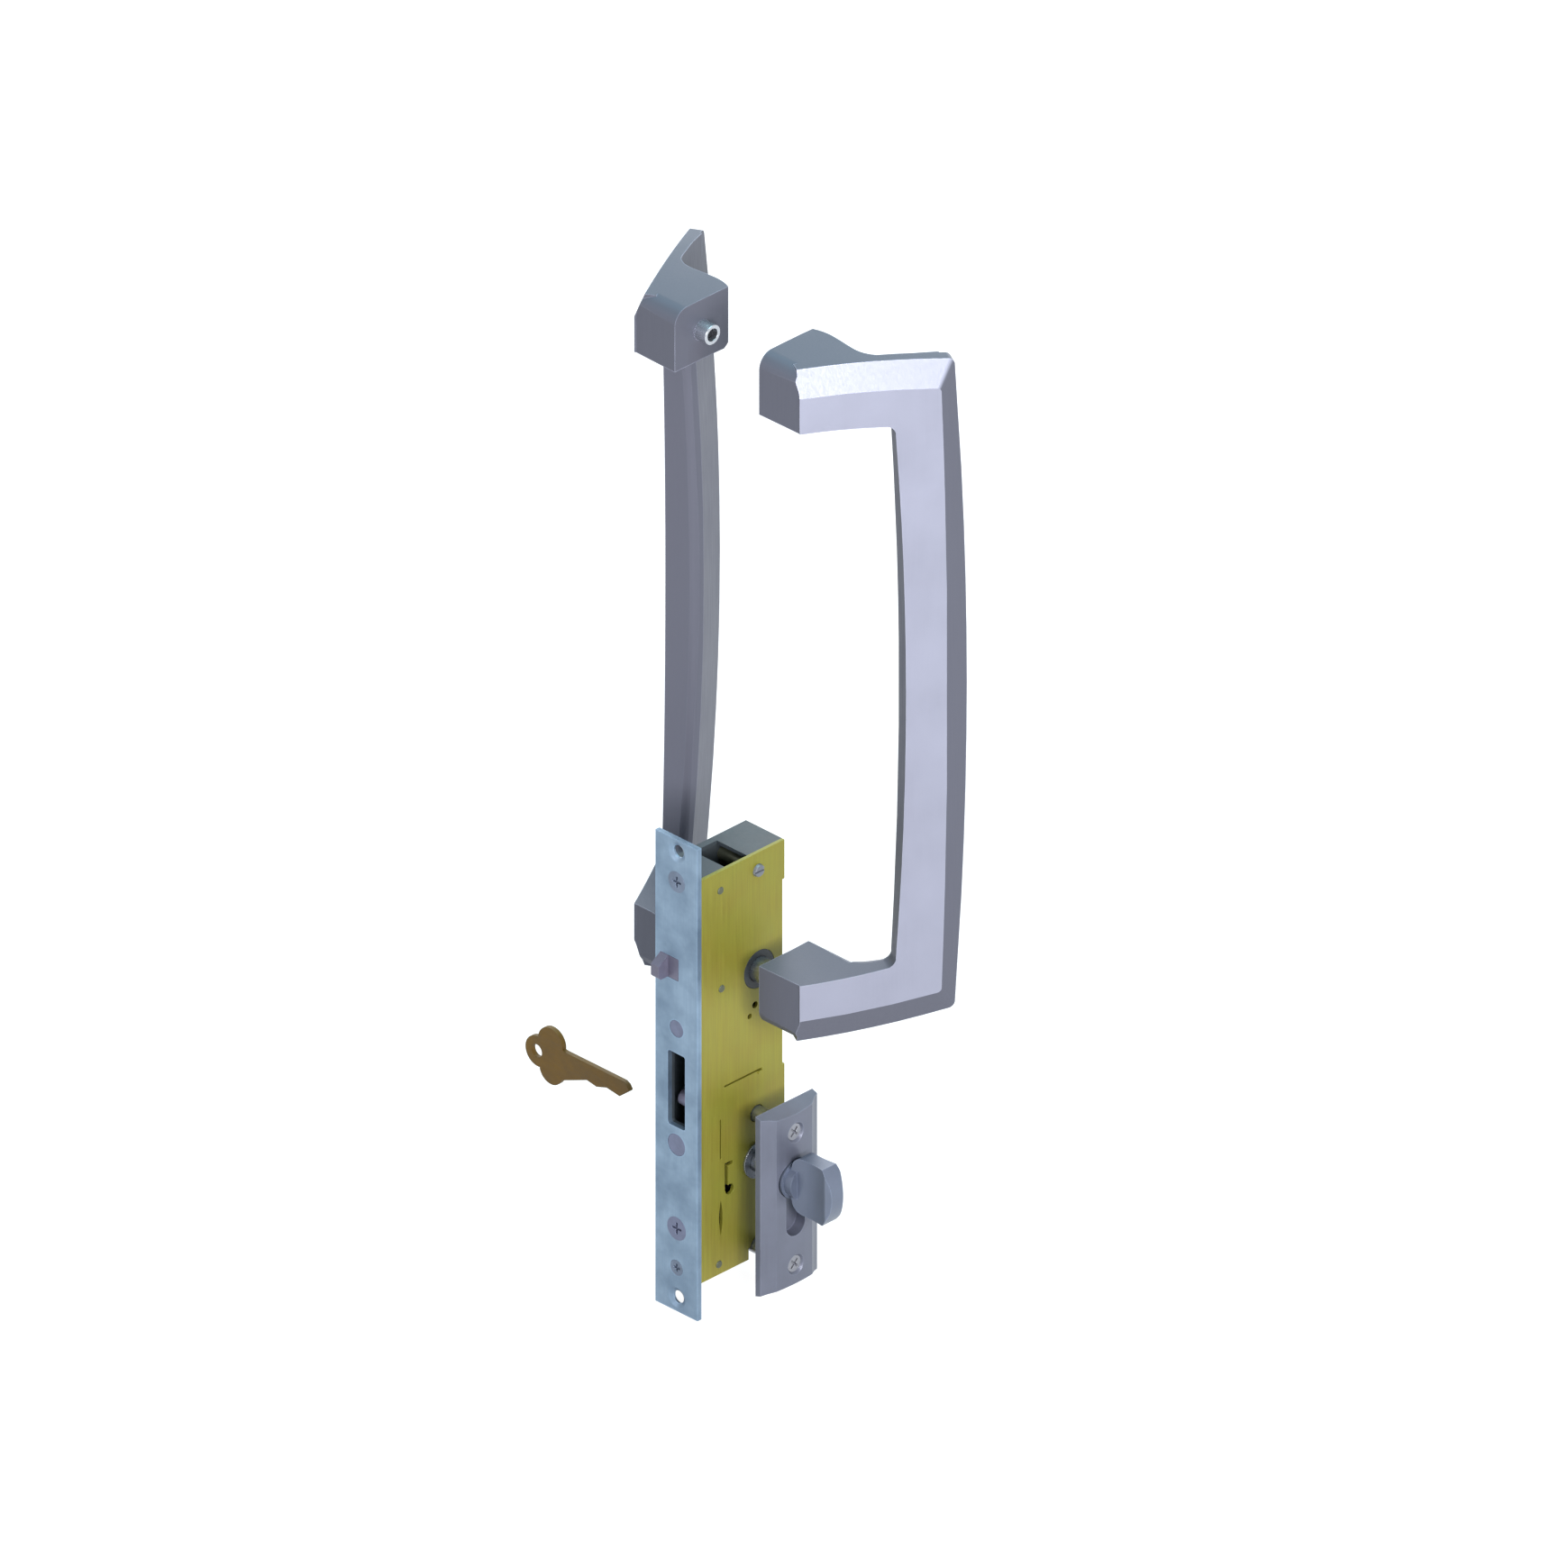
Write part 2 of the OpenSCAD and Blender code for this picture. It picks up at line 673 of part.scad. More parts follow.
// Cam between the cylinder's plug and the shaft, with the arm that drives the link
module cam() {
    color("#9a8f6a") difference() {
        union() {
            bar_x(-cam_half, cam_half, turn_y, turn_z, cam_r);
            bar_x(-cam_half, cam_half, turn_y + arm_dy, turn_z + arm_dz, arm_eye_r);
            through_x(-cam_half, cam_half) translate([turn_y, turn_z]) rotate(arm_rest)
                polygon([[2, 6.4], [arm_r + 0.4, 3.1], [arm_r + 0.4, -3.1], [2, -6.4]]);
        }
        block([-cam_half - over, turn_y - tongue_t / 2 - run_gap, turn_z - tongue_w / 2 - run_gap],
            [cam_half + over, turn_y + tongue_t / 2 + run_gap, turn_z + tongue_w / 2 + run_gap]);
        bar_x(-cam_half - over, -cam_half + 2.2, turn_y, turn_z, nose_r + free_gap);
        bar_x(-cam_half - over, cam_half + over, turn_y + arm_dy, turn_z + arm_dz, link_pin_r + run_gap);
    }
}

// Flanged bearing of the shaft in the cover
module shaft_bushing() {
    color("#3c3c40") difference() {
        union() {
            bar_x(tray_x1, case_x1 + eps, turn_y, turn_z, bushing_r);
            bar_x(case_x1, case_x1 + 1, turn_y, turn_z, bushing_r + 1.5);
        }
        bar_x(tray_x1 - over, case_x1 + 1 + over, turn_y, turn_z, shaft_r + run_gap);
    }
}

// Shaft from the thumbturn to the cam, with a flat tongue at its inner end
module thumbturn_shaft() {
    color("#8f9499") difference() {
        union() {
            bar_x(tray_x1 - 0.2, shaft_x1, turn_y, turn_z, shaft_r);
            intersection() {
                block([-1, turn_y - tongue_t / 2, turn_z - tongue_w / 2],
                    [tray_x1, turn_y + tongue_t / 2, turn_z + tongue_w / 2]);
                bar_x(-2, tray_x1, turn_y, turn_z, shaft_r);
            }
        }
        difference() {
            bar_x(clip_x0 - run_gap, clip_x0 + clip_t + run_gap, turn_y, turn_z, shaft_r + over);
            bar_x(clip_x0 - over, clip_x0 + clip_t + over, turn_y, turn_z, groove_r);
        }
    }
}

// Open ring in the shaft's groove, behind the escutcheon
module shaft_clip() {
    color("#55585c") difference() {
        bar_x(clip_x0, clip_x0 + clip_t, turn_y, turn_z, clip_r);
        bar_x(clip_x0 - over, clip_x0 + clip_t + over, turn_y, turn_z, groove_r + run_gap);
        block([clip_x0 - over, turn_y - 2.4, turn_z - 2 * clip_r],
            [clip_x0 + clip_t + over, turn_y + 2.4, turn_z]);
    }
}

// Thumbturn: round hub, collar and waisted upright paddle
module thumbturn() {
    paddle_x1 = inner_x + paddle_reach;
    waist_r = 42;
    waist_x = hub_x1 + 8;
    color("#6e7891") difference() {
        union() {
            bar_x(hub_x0, hub_x1 + 2, turn_y, turn_z, hub_r);
            bar_x(inner_x + scut_t - 0.8, inner_x + scut_t + 0.4, turn_y, turn_z, collar_r);
            intersection() {
                through_y(turn_y - paddle_t / 2, turn_y + paddle_t / 2) paddle_outline(paddle_x1);
                difference() {
                    translate([0, turn_y, turn_z - paddle_h]) linear_extrude(2 * paddle_h)
                        paddle_plan(paddle_x1);
                    for (side = [-1, 1])
                        translate([waist_x, turn_y + side * (waist_r + paddle_t / 2 - 0.9), turn_z])
                            cylinder(h = 3 * paddle_h, r = waist_r, center = true, $fn = 180);
                }
            }
        }
        bar_x(hub_x0 - over, shaft_x1 + 0.2, turn_y, turn_z, shaft_r + run_gap);
    }
}

// Top view of the paddle, with the bevels at its end
module paddle_plan(end_x) {
    bevel_l = 2.5;
    bevel_w = 1;
    half = paddle_t / 2;
    polygon([[hub_x1 - 1, -half], [end_x - bevel_l, -half], [end_x, bevel_w - half],
        [end_x, half - bevel_w], [end_x - bevel_l, half], [hub_x1 - 1, half]]);
}

// Side view of the paddle: narrow at the hub, full height from a third of its depth, round end
module paddle_outline(end_x) {
    half = paddle_h / 2;
    corner = 5;
    flare = 4.5;
    full_x = hub_x1 + flare;
    translate([0, turn_z]) intersection() {
        translate([end_x - paddle_end_r, 0]) circle(paddle_end_r, $fn = 180);
        union() {
            translate([hub_x1 - 1, -hub_r]) square([flare + 1.5, 2 * hub_r]);
            translate([full_x, -half]) square([end_x - full_x, paddle_h]);
            translate([full_x - corner, corner - half]) square([corner + eps, paddle_h - 2 * corner]);
            for (side = [-1, 1]) translate([full_x, side * (half - corner)]) circle(corner);
        }
    }
}

// Leaf spring beside the cam, fixed to its own post
module detent_spring() {
    leaf_half = 3;
    color("#9aa0a6") {
        bar_x(case_x0, tray_x0 + eps, detent_y, detent_z, post_neck_r);
        bar_x(tray_x0, leaf_half, detent_y, detent_z, leaf_post_r);
        through_x(-leaf_half, leaf_half) translate([leaf_y, turn_z - 6])
            square([leaf_t, detent_z - turn_z + 6]);
    }
}

// Trigger: sloped nose that stands out and a flush shoulder beside it
module trigger() {
    top = trigger_z + trigger_slot_h / 2 + trigger_h / 2;
    low = top - trigger_h;
    nose_x = trigger_x + 0.15;
    color("#a9a39a") {
        difference() {
            union() {
                block([nose_x, plate_y0, low], [trigger_x + trigger_slot_w - 0.15, trigger_y1, top]);
                through_x(nose_x, nose_x + nose_w) translate([plate_y0, 0])
                    polygon([[0.1, low], [1.2 - nose_out, low], [-nose_out, low + 1.2],
                        [-nose_out, top - 3.2], [0.1, top]]);
            }
            bar_y(trigger_y1 - 1.5, trigger_y1 + over, trigger_pin_x, guide_pin_z, trigger_pin_r + run_gap);
        }
    }
}

// Bar and tail pin that the trigger carries inside the case
module trigger_bar() {
    color("#8a8f94") {
        bar_y(trigger_y1 - 1.5, guide_y1 + 1, trigger_pin_x, guide_pin_z, trigger_pin_r);
        block([trigger_x + 0.3, 2.1, trigger_bar_z], [trigger_x + 3.3, 3.9, trigger_z + 0.15]);
    }
}

// Block that guides the trigger's tail pin
module trigger_guide() {
    color("#3c3c40") {
        difference() {
            block([tray_x0, guide_y0, guide_pin_z - 4], [trigger_pin_x + 4, guide_y1, guide_pin_z + 4]);
            bar_y(guide_y0 - over, guide_y1 + over, trigger_pin_x, guide_pin_z, trigger_pin_r + run_gap);
        }
        bar_x(case_x0, tray_x0 + eps, guide_pin_y, guide_pin_z, post_neck_r);
    }
}

// Return spring of the trigger, drawn as the sleeve that its turns fill
module trigger_spring() {
    color("#9aa0a6") difference() {
        bar_y(trigger_y1 + 0.1, guide_y0 - 0.1, trigger_pin_x, guide_pin_z, 3);
        bar_y(trigger_y1 - over, guide_y0 + over, trigger_pin_x, guide_pin_z, trigger_pin_r + 0.5);
    }
}

// Housing of the key cylinder, with the bridge that takes its screw
module cylinder_body() {
    color("#a9adb2") difference() {
        union() {
            through_x(cylinder_x, cylinder_end) euro_outline(-0.1);
            block([cylinder_end - 1, turn_y - leg_w / 2 + 0.1, turn_z - leg_drop + 1.4],
                [5, turn_y + leg_w / 2 - 0.1, turn_z - 13.4]);
        }
        bar_x(cylinder_x - over, cylinder_end + over, turn_y, turn_z, plug_r + run_gap);
        bar_y(turn_y - leg_w, turn_y + leg_w, 0, cylinder_screw_z, cylinder_screw_r + run_gap);
        for (i = [0:pin_count - 1]) pin_bore(first_pin_x - i * pin_pitch, -spring_low, -plug_r);
    }
}

// A vertical bore for one pin stack, measured down from the turning axis
module pin_bore(x, low, high) {
    translate([x, turn_y, turn_z + low]) cylinder(h = high - low, r = pin_r + run_gap);
}

// Plug with its keyway, pin bores and the nose in the cam
module cylinder_plug() {
    color("#b8a870") difference() {
        union() {
            bar_x(cylinder_x, cylinder_end, turn_y, turn_z, plug_r);
            bar_x(cylinder_end - eps, -cam_half + 1.8, turn_y, turn_z, nose_r);
        }
        block([cylinder_x - over, turn_y - key_t / 2 - 0.12, turn_z - key_bottom - 0.2],
            [key_tip_x + key_travel + 0.25, turn_y + key_t / 2 + 0.12, turn_z + key_top + 0.15]);
        for (i = [0:pin_count - 1]) pin_bore(first_pin_x - i * pin_pitch, -plug_r - over, -key_bottom);
    }
}

// Pins in the plug
module key_pins() {
    color("#b8a870") for (i = [0:pin_count - 1])
        translate([first_pin_x - i * pin_pitch, turn_y, turn_z - plug_r + 0.2])
            cylinder(h = plug_r - 0.2 - key_bottom - 0.5, r = pin_r);
}

// Pins in the housing
module driver_pins() {
    color("silver") for (i = [0:pin_count - 1])
        translate([first_pin_x - i * pin_pitch, turn_y, turn_z - plug_r - 0.15 - driver_h])
            cylinder(h = driver_h, r = pin_r);
}

// Springs under the pins, drawn as the sleeves that their turns fill
module pin_springs() {
    spring_h = spring_low - plug_r - 0.25 - driver_h;
    color("#9aa0a6") for (i = [0:pin_count - 1])
        translate([first_pin_x - i * pin_pitch, turn_y, turn_z - spring_low]) difference() {
            cylinder(h = spring_h, r = pin_r - 0.1);
            translate([0, 0, -over]) cylinder(h = spring_h + 2 * over, r = pin_r - 0.5);
        }
}

// Side view of the key in X and Z, from its tip, relative to the turning axis
module key_outline() {
    upper_lobe = [-blade_l - 7.7, 6];
    end_lobe = [-blade_l - 14.5, -0.2];
    lower_lobe = [-blade_l - 7.5, -5.5];
    difference() {
        union() {
            polygon([[0, key_top - 2.8], [-1.2, key_top - 1], [-3, key_top], [-blade_l, key_top],
                upper_lobe, end_lobe, lower_lobe, [-blade_l - 2.4, -7.8], [-22.5, -2],
                [-17.4, -key_bottom], [-12, -1], [-5.2, -1.9], [-0.6, 1.8]]);
            translate(upper_lobe) circle(upper_lobe_r);
            translate(lower_lobe) circle(lower_lobe_r);
            translate(end_lobe) circle(end_lobe_r);
        }
        translate(end_lobe + [-0.4, 0.1]) circle(bow_hole_r);
    }
}

// Key, standing free outside the cylinder
module key() {
    color("#5f501e") translate([key_tip_x, 0, turn_z])
        through_y(turn_y - key_t / 2, turn_y + key_t / 2) key_outline();
}

// Ring that lines the case's handle holes
module handle_bushing() {
    color("#3c3c40") difference() {
        bar_x(case_x0, case_x1, stud_y, lower_stud_z, handle_hole_r - 0.1);
        bar_x(case_x0 - over, case_x1 + over, stud_y, lower_stud_z, sleeve_r + 0.1);
    }
}

// Sleeve between the two lower feet, seated in both
module handle_sleeve() {
    color("#9aa0a6") difference() {
        bar_x(outer_x - seat_depth, inner_x + seat_depth, stud_y, lower_stud_z, sleeve_r);
        bar_x(outer_x - seat_depth - over, inner_x + seat_depth + over, stud_y, lower_stud_z, rod_r + 0.2);
    }
}

// Threaded rod through the sleeve into both lower feet
module handle_rod() {
    color("silver") bar_x(outer_x - stud_depth + 0.5, inner_x + stud_depth - 0.5,
        stud_y, lower_stud_z, rod_r);
}

// Threaded sockets that stand out of the upper feet into the door
module handle_studs() {
    color("silver") {
        handle_stud(inner_x, 1);
        handle_stud(outer_x, -1);
    }
}

// One stud, from its foot's face at face_x towards the door
module handle_stud(face_x, side) {
    x0 = face_x - side * stud_out;
    x1 = face_x + side * (stud_depth - 0.2);
    difference() {
        bar_x(min(x0, x1), max(x0, x1), stud_y, upper_stud_z, stud_r);
        bar_x(min(x0 - side, x1 - side), max(x0 - side, x1 - side), stud_y, upper_stud_z, stud_bore_r);
    }
}

// Drop of a shallow arc of radius r at distance d from its highest point
function arc_drop(d, r) = d * d / (2 * r);

// Points of one quarter outline: top arc from t0 to the corner, then the grip's edge to the middle
function half_outline(t0, top, top_r, edge, edge_r, corner) =
    let (low = top - arc_drop(edge, top_r) - corner, t1 = edge - arc_drop(low, edge_r) - corner,
        z1 = top - arc_drop(t1, top_r) - corner, n = 6)
    concat([[t0, top]],
        [for (i = [0:n]) let (t = t1 * i / n) [t, top - arc_drop(t, top_r)]],
        [for (a = [80:-10:10]) [t1 + corner * cos(a), z1 + corner * sin(a)]],
        [for (i = [0:n]) let (z = z1 * (1 - i / n)) [edge - arc_drop(z, edge_r), z]]);

// The quarter outline and its mirror image below the middle
module full_outline(t0, top, top_r, edge, edge_r, corner) {
    half = half_outline(t0, top, top_r, edge, edge_r, corner);
    lower = [for (i = [len(half) - 2:-1:0]) [half[i][0], -half[i][1]]];
    polygon(concat(half, lower));
}

// Plane of a handle's front face: x runs across it, y up and z out of it
module on_front() {
    translate([foot_u, foot_y + 0.2, 0]) rotate([0, 0, -handle_lean]) rotate([90, 0, 90]) children();
}

// Everything behind the bevelled front face
module handle_envelope() {
    on_front() hull() {
        translate([0, 0, -eps]) linear_extrude(eps)
            full_outline(0, handle_half, 355, face_edge, 3600, 2);
        translate([0, 0, -back_depth]) linear_extrude(back_depth - bevel_drop)
            full_outline(-36, handle_half + back_rise, 365, face_edge + bevel_out, 2000, 3);
    }
}

// Share of the back rounding that the window's top and bottom get: none at the feet, all at the grip
function end_share(t) = min(1, max(0, (t - fade_t) / fade_w));

// Points of the finger window's outline, grown towards the grip and, near it, up and down
function window_points(grow) =
    let (half = [for (p = half_outline(window_t0, window_half + grow, window_arc_r,
        window_edge + grow, window_side_r, window_corner + grow))
        [p[0], p[1] - (grow == 0 ? 0 : grow + fade_inset) * (1 - end_share(p[0]))]])
    concat(half, [for (i = [len(half) - 2:-1:0]) [half[i][0], -half[i][1]]]);

// Depth of the grip behind the front face at height z
function grip_back(z) = -grip_depth + arc_drop(z, 2000);

// One ring of the window's cutter, flat at depth z or, with bow 1, carried along the grip's bowed back
function window_ring(grow, z, bow) =
    [for (p = window_points(grow)) [p[0], p[1], z + bow * grip_back(p[1])]];

// Finger window, wider at the back where the grip's inner edges are rounded
module handle_window() {
    steps = 10;
    rings = concat([window_ring(-ring_inset, over / 2, 0)],
        [for (i = [0:steps]) let (a = 90 * i / steps)
            window_ring(grip_round * (1 - cos(a)) - ring_inset,
                grip_round * (1 - sin(a)) - ring_back, 1)],
        [window_ring(grip_round - ring_inset, over - back_depth, 0)]);
    count = len(rings[0]);
    last = len(rings) - 1;
    on_front() {
        translate([0, 0, -back_depth]) linear_extrude(back_depth + over)
            polygon(window_points(0));
        polyhedron(
            points = [for (ring = rings) for (p = ring) p],
            faces = concat([[for (i = [0:count - 1]) i]],
                [[for (i = [count - 1:-1:0]) last * count + i]],
                [for (k = [0:last - 1]) for (i = [0:count - 1]) for (side = [0, 1])
                    let (j = (i + 1) % count, upper = k * count, lower = upper + count)
                    side == 0 ? [upper + j, upper + i, lower + i] : [upper + j, lower + i, lower + j]]));
    }
}

// Slab of the front face and the grip, with its bowed back
module grip_slab() {
    n = 10;
    z1 = foot_z1 + 5;
    on_front() translate([back_depth, 0, 0]) rotate([0, -90, 0]) linear_extrude(back_depth + 0.5)
        polygon(concat([[over, z1], [over, -z1]],
            [for (i = [-n:n]) let (z = z1 * i / n) [grip_back(z), z]]));
}

// Point at t on the curve from a to d that b and c draw out
function curve(a, b, c, d, t) =
    a * pow(1 - t, 3) + 3 * b * t * pow(1 - t, 2) + 3 * c * t * t * (1 - t) + d * pow(t, 3);

// Plan of a foot in X and Y, from the door face to the front face
module foot_plan() {
    n = 10;
    neck = [foot_u + 12.1, foot_y + foot_width + 10.9];
    turn = [foot_u, foot_y + foot_width];
    heel = [0, foot_y + foot_width - 1];
    polygon(concat([[0, foot_y - 0.2], [foot_u, foot_y + 0.2],
        [foot_u + 27.3, foot_y + 50.3], [foot_u + 18.4, foot_y + 54.4]],
        [for (i = [0:n]) curve(neck, neck - [2.6, 6], turn + [6, 0.2], turn, i / n)],
        [for (i = [1:n]) curve(turn, turn - [7, 0.2], heel + [7, 3.5], heel, i / n)]));
}

// Both feet, with the rounded corners that their sides show
module handle_feet() {
    for (side = [-1, 1]) intersection() {
        translate([0, 0, side > 0 ? foot_z0 - 2 * over : -foot_z1 - over])
            linear_extrude(foot_z1 - foot_z0 + 3 * over) foot_plan();
        through_x(0, back_depth) scale([1, side]) difference() {
            translate([foot_y - over, foot_z0 - over]) square([back_depth, foot_z1 - foot_z0 + over]);
            round_off([foot_y - 0.2, foot_z1], [1, -1], foot_round);
            round_off([foot_y + foot_width + 0.8, foot_z0], [-1, 1], foot_inner_round);
        }
    }
}

// What a rounding of radius r takes off the corner at p, whose solid lies in direction d
module round_off(p, d, r) {
    difference() {
        translate([p[0] + (d[0] > 0 ? -2 : -r), p[1] + (d[1] > 0 ? -2 : -r)]) square(r + 2);
        translate([p[0] + d[0] * r, p[1] + d[1] * r]) circle(r);
    }
}

// Pull handle in its own frame: x out of the door, y into the door, z from its middle
module handle_casting() {
    difference() {
        intersection() {
            handle_envelope();
            union() {
                handle_feet();
                grip_slab();
            }
        }
        handle_window();
        bar_x(-over, stud_depth, stud_y, stud_spacing / 2, stud_r + run_gap);
        bar_x(-over, stud_depth, stud_y, -stud_spacing / 2, rod_r + run_gap);
        bar_x(-over, seat_depth, stud_y, -stud_spacing / 2, sleeve_r + run_gap);
    }
}

// Handle on the room side
module inside_handle() {
    color("#c3c4d8") translate([inner_x, 0, handle_z]) handle_casting();
}

// Handle on the outdoor side
module outside_handle() {
    color("#9da0a8") translate([outer_x, 0, handle_z]) mirror([1, 0, 0]) handle_casting();
}

// Domed escutcheon shape on the door face at X = 0, from its own middle
module scut_shell() {
    crown_r = 49;
    slope = 2.2;
    half_w = scut_w / 2;
    half_h = scut_h / 2;
    intersection() {
        translate([0, 0, -half_h]) linear_extrude(scut_h) intersection() {
            polygon([[0, -half_w], [2.6, -half_w], [3.7, -half_w + 2.7], [scut_t - 0.9, -half_w + 5.6],
                [scut_t + 1, -half_w + 5.9], [scut_t + 1, half_w - 5.9], [scut_t - 0.9, half_w - 5.6],
                [3.7, half_w - 2.7], [2.6, half_w], [0, half_w]]);
            translate([scut_t - crown_r, 0]) circle(crown_r, $fn = 360);
        }
        through_y(-half_w - 1, half_w + 1) polygon([[0, half_h], [scut_t, half_h - slope],
            [scut_t, -half_h + slope], [0, -half_h]]);
    }
}

// Escutcheon on the room side, with its recess, shaft hole and screw holes
module escutcheon() {
    color("#9696a8") difference() {
        translate([inner_x, turn_y, scut_z]) scut_shell();
        through_x(inner_x + scut_floor, inner_x + scut_t + over) euro_outline(0);
        bar_x(inner_x - over, inner_x + scut_floor + over, turn_y, turn_z, shaft_r + 0.1);
        bar_x(inner_x - over, inner_x + clip_room_d, turn_y, turn_z, clip_room_r);
        for (z = scut_post_z) {
            bar_x(inner_x - over, inner_x + scut_t + over, turn_y, z, scut_screw_r + 0.1);
            bar_x(scut_head_x - scut_head_t - run_gap, scut_head_x + 2, turn_y, z,
                scut_screw_r + run_gap, scut_head_r + run_gap + 2 * scut_head_slope);
        }
    }
}

// Escutcheon on the outdoor side, round the key cylinder
module outside_escutcheon() {
    color("#9696a8") difference() {
        translate([outer_x, turn_y, scut_z]) mirror([1, 0, 0]) scut_shell();
        through_x(outer_x - scut_t - over, outer_x + over) euro_outline(0.15);
        for (z = scut_post_z) bar_x(outer_x - 2, outer_x + over, turn_y, z, scut_post_r + run_gap);
    }
}

// Threaded posts of the outside escutcheon, through the case and the door
module escutcheon_posts() {
    color("#8f9499") for (z = scut_post_z) difference() {
        bar_x(outer_x - 1.9, inner_x - 2.5, turn_y, z, scut_post_r);
        bar_x(0, inner_x, turn_y, z, scut_screw_r + run_gap);
    }
}

// Countersunk screws of the escutcheons
module escutcheon_screws() {
    color("#d8dadc") for (z = scut_post_z) difference() {
        union() {
            bar_x(5, scut_head_x - scut_head_t + eps, turn_y, z, scut_screw_r);
            bar_x(scut_head_x - scut_head_t, scut_head_x, turn_y, z, scut_screw_r, scut_head_r);
        }
        for (turn = [45, 135]) translate([scut_head_x, turn_y, z]) rotate([turn, 0, 0])
            block([-1.5, -2.3, -0.45], [1, 2.3, 0.45]);
    }
}

faceplate();
faceplate_screws();
faceplate_rivets();
cylinder_screw();
case_tray();
case_cover();
case_posts();
cover_screw();
tapped_blocks();
hook_bolt();
hook_pivot();
hook_spacer();
hook_pin();
drive_link();
cam();
cam_pin();
shaft_bushing();
thumbturn_shaft();
shaft_clip();
thumbturn();
detent_spring();
trigger();
trigger_bar();
trigger_guide();
trigger_spring();
cylinder_body();
cylinder_plug();
key_pins();
driver_pins();
pin_springs();
key();
handle_bushing();
handle_sleeve();
handle_rod();
handle_studs();
inside_handle();
outside_handle();
escutcheon();
outside_escutcheon();
escutcheon_posts();
escutcheon_screws();
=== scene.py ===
"""Looks of the sliding patio door lock: plated and cast metal finishes, rounded edges, studio and camera."""

import json
import math

import bpy
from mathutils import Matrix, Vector


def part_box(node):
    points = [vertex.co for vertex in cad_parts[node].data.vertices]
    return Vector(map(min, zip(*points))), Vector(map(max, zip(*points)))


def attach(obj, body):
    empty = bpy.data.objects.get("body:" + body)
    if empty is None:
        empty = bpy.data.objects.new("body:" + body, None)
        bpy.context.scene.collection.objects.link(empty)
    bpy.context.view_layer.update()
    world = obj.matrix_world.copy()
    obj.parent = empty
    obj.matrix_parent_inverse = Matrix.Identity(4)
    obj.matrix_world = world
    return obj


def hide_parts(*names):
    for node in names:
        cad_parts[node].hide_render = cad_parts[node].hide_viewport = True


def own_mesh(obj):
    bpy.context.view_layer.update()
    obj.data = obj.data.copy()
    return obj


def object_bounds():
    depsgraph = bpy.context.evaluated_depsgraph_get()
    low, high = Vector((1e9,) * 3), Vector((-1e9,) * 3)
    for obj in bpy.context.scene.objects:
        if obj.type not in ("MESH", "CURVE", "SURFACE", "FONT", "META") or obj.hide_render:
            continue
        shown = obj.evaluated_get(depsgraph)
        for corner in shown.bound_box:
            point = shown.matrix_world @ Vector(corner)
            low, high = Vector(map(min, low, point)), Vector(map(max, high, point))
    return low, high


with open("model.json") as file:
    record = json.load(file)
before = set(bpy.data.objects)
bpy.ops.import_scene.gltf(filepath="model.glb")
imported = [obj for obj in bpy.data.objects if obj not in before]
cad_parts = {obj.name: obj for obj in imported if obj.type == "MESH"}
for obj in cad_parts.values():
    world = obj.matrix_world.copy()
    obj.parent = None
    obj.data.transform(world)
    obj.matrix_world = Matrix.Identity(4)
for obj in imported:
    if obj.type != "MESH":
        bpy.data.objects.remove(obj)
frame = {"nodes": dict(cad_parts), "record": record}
cad_low, cad_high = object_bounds()
MM = 0.001
WHITE = (1.0, 1.0, 1.0, 1.0)

# The photograph is a parallel view, turned 45 degrees and 30 degrees above the horizon.
# VIEW_AIM is the point in the middle of its frame.
VIEW_TURN = math.radians(45)
VIEW_RISE = math.radians(30)
VIEW_AIM = Vector((28.4, 26.3, 125.6)) * MM
VIEW_WIDTH = 585.5 * MM
VIEW_BACK = 2.0
VIEW_END = 10


def add_object(name, data):
    """A new object in the scene."""
    thing = bpy.data.objects.new(name, data)
    bpy.context.scene.collection.objects.link(thing)
    return thing


def aim(thing, target, way, distance):
    """Puts a camera or a lamp on the given way from the target, and points it back at the target."""
    thing.location = target + way * distance
    thing.rotation_mode = "QUATERNION"
    thing.rotation_quaternion = (-way).to_track_quat("-Z", "Y")


def make_camera():
    """The camera of the main picture."""
    data = bpy.data.cameras.new("camera")
    data.type = "ORTHO"
    data.ortho_scale = VIEW_WIDTH
    data.clip_end = VIEW_END
    camera = add_object("camera", data)
    level = math.cos(VIEW_RISE)
    back = Vector((math.sin(VIEW_TURN) * level, -math.cos(VIEW_TURN) * level, math.sin(VIEW_RISE)))
    aim(camera, VIEW_AIM, back, VIEW_BACK)
    bpy.context.scene.camera = camera


# Turn of a normal over an edge at which the edge colour of wear and painted highlight is full, and how
# closely a face has to look along a direction to be painted lit
EDGE_TURN = 0.86
FACING_LOW, FACING_HIGH = 0.945, 0.985


